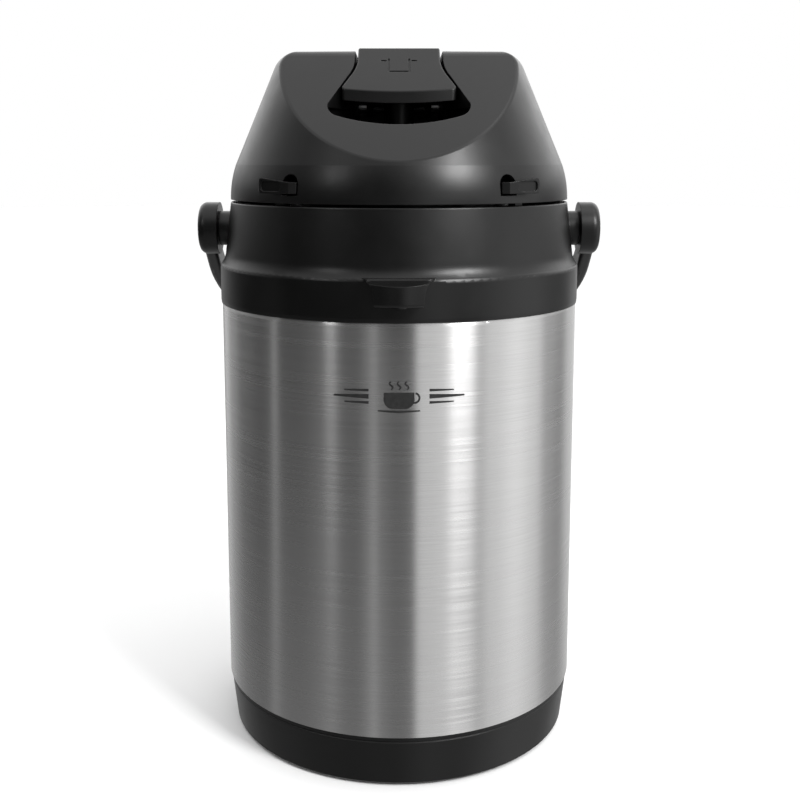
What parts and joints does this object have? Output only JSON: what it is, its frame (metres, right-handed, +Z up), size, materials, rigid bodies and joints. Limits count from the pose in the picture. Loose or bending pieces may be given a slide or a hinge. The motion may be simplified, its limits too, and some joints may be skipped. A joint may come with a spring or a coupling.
{
  "type": "pump airpot",
  "caption": "Thermal coffee airpot: brushed steel vacuum jug on a swivel foot, black collar with spout, hinged lid with lever bellows pump, and a bail handle.",
  "frame": {"origin": "on the table, under the centre of the steel jug, at the underside of the foot ring", "axes": "+Z up along the jug's axis, -Y towards the spout, +X to the right seen from the front"},
  "size_m": [0.186, 0.1886, 0.3156],
  "materials": {
    "black_plastic": "satin moulded, fine grain",
    "lever_plastic": "satin moulded",
    "inner_plastic": "plain moulded, food grade",
    "brushed_shell": "brushed round the jug",
    "bright_steel": "electropolished",
    "fastener": "zinc plated",
    "silicone": "translucent food-grade silicone",
    "black_rubber": "matt",
    "bellows_rubber": "matt moulded"
  },
  "bodies": {
    "foot": {"foot_disc": "black_plastic", "foot_ring": "black_rubber"},
    "vessel": {"pivot_screw": "fastener", "pivot_washer": "fastener", "base_cup": "black_plastic", "base_screws": "fastener", "base_nuts": "fastener", "outer_shell": "brushed_shell", "outer_bottom": "bright_steel", "getter": "bright_steel", "liner_wall": "bright_steel", "liner_bottom": "bright_steel", "collar": "black_plastic", "neck_ring": "inner_plastic", "neck_gasket": "silicone", "tube_holder": "inner_plastic", "siphon_tube": "bright_steel", "siphon_ring": "silicone", "outlet_pipe": "bright_steel", "outlet_seals": "silicone", "spout_nozzle": "black_plastic", "handle_pins": "fastener", "hinge_pin": "fastener"},
    "lid": {"lid_shell": "black_plastic", "pump_housing": "black_plastic", "lid_gasket": "silicone", "air_flap": "silicone", "bellows": "bellows_rubber", "pump_spring": "bright_steel", "lid_screws": "fastener", "latch_pins": "fastener", "lever_pin": "fastener"},
    "lever": {"lever": "lever_plastic"},
    "plunger": {"plunger": "black_plastic"},
    "latch_left": {"latch_left": "black_plastic"},
    "latch_right": {"latch_right": "black_plastic"},
    "handle": {"handle": "black_plastic"}
  },
  "joints": [
    {"name": "swivel", "type": "hinge", "parent": "foot", "child": "vessel", "pos_m": [0, 0, 0.0065], "axis": [0, 0, 1], "continuous": true},
    {"name": "lid_hinge", "type": "hinge", "parent": "vessel", "child": "lid", "pos_m": [0, 0.08, 0.246], "axis": [-1, 0, 0], "range_deg": [0, 97]},
    {"name": "pump_lever", "type": "hinge", "parent": "lid", "child": "lever", "pos_m": [0, 0.04, 0.291], "axis": [1, 0, 0], "range_deg": [0, 18], "stiffness_Nm_per_rad": 1.2, "springref_deg": -14.32},
    {"name": "pump_plunger", "type": "slide", "parent": "lid", "child": "plunger", "axis": [0, 0, -1], "range_m": [0, 0.013], "deforming": ["bellows", "pump_spring"]},
    {"name": "latch_right_pivot", "type": "hinge", "parent": "lid", "child": "latch_right", "pos_m": [0.03819, -0.05926, 0.2553], "axis": [0, 0, 1], "range_deg": [0, 7], "stiffness_Nm_per_rad": 0.03, "springref_deg": -5.73},
    {"name": "latch_left_pivot", "type": "hinge", "parent": "lid", "child": "latch_left", "pos_m": [-0.03819, -0.05926, 0.2553], "axis": [0, 0, -1], "range_deg": [0, 7], "stiffness_Nm_per_rad": 0.03, "springref_deg": -5.73},
    {"name": "handle_pivot", "type": "hinge", "parent": "vessel", "child": "handle", "pos_m": [0, 0, 0.2345], "axis": [1, 0, 0], "range_deg": [0, 128]}
  ],
  "couplings": [
    {"joint": "pump_plunger", "follows": "pump_lever", "m_per_rad": 0.0412}
  ]
}
